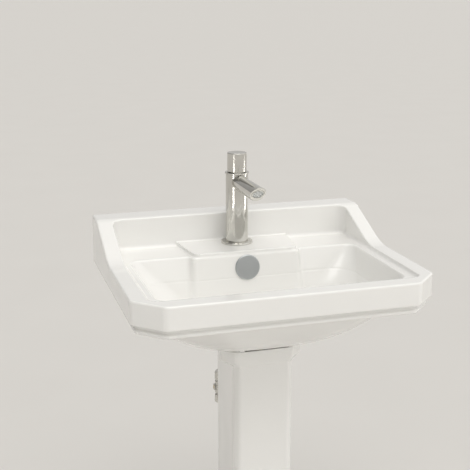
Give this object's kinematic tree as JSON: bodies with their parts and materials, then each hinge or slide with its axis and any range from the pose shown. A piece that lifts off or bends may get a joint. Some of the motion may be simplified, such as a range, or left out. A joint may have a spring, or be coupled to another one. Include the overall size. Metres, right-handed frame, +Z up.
{
  "type": "pedestal sink",
  "caption": "White glazed pedestal basin with chamfered front corners, raised back and wings, chrome tap with spout and turn knob, pop-up waste, trap and hollow pedestal.",
  "frame": {"origin": "on the floor, under the middle of the basin's plan", "axes": "+X to the user's right, +Y towards the wall, +Z up"},
  "size_m": [0.56, 0.45, 1.035],
  "materials": {
    "china": "white gloss glaze",
    "chrome": "polished",
    "satin_chrome": "satin",
    "steel": "satin",
    "nickel": "satin plated",
    "brass": "machined",
    "copper": "drawn tube, slightly dulled",
    "black_rubber": "matt",
    "white_rubber": "matt",
    "white_plastic": "moulded",
    "clear_white_plastic": "moulded"
  },
  "bodies": {
    "sink": {"basin": "china", "pedestal": "china", "overflow_cover": "satin_chrome", "tap_body": "chrome", "tap_base_ring": "chrome", "tap_base_seal": "black_rubber", "trim_ring": "chrome", "spout": "chrome", "aerator_housing": "chrome", "aerator_insert": "clear_white_plastic", "aerator_seal": "black_rubber", "cartridge": "white_plastic", "cartridge_nut": "brass", "fixing_stud": "brass", "fixing_gasket": "black_rubber", "fixing_washer": "steel", "fixing_nut": "brass", "hot_tail": "copper", "cold_tail": "copper", "hot_isolator": "nickel", "cold_isolator": "nickel", "compression_nuts": "nickel", "compression_olives": "copper", "waste_body": "chrome", "waste_upper_seal": "white_rubber", "waste_lower_seal": "black_rubber", "waste_back_nut": "brass", "plug_guide": "white_plastic", "trap_inlet_nut": "white_plastic", "trap_inlet_washer": "black_rubber", "trap_body": "white_plastic", "trap_dip_tube": "white_plastic", "trap_cup": "white_plastic", "trap_cup_seal": "black_rubber", "trap_outlet_nut": "white_plastic", "trap_outlet_washer": "black_rubber", "outlet_pipe": "white_plastic"},
    "tap_knob": {"knob": "chrome", "cartridge_spindle": "brass", "knob_grub_screw": "steel"},
    "waste_plug": {"plug_cap": "chrome", "plug_seal": "black_rubber", "plug_stem": "brass"},
    "hot_valve_ball": {"hot_isolator_ball": "brass"},
    "cold_valve_ball": {"cold_isolator_ball": "brass"}
  },
  "joints": [
    {"name": "knob_turn", "type": "hinge", "parent": "sink", "child": "tap_knob", "pos_m": [0, 0.133, 1], "axis": [0, 0, 1], "range_deg": [0, 120]},
    {"name": "plug_lift", "type": "slide", "parent": "sink", "child": "waste_plug", "axis": [0, 0, 1], "range_m": [0, 0.008]},
    {"name": "hot_valve_turn", "type": "hinge", "parent": "sink", "child": "hot_valve_ball", "pos_m": [-0.03, 0.15, 0.53], "axis": [-1, 0, 0], "range_deg": [0, 90]},
    {"name": "cold_valve_turn", "type": "hinge", "parent": "sink", "child": "cold_valve_ball", "pos_m": [0.03, 0.15, 0.53], "axis": [1, 0, 0], "range_deg": [0, 90]}
  ]
}
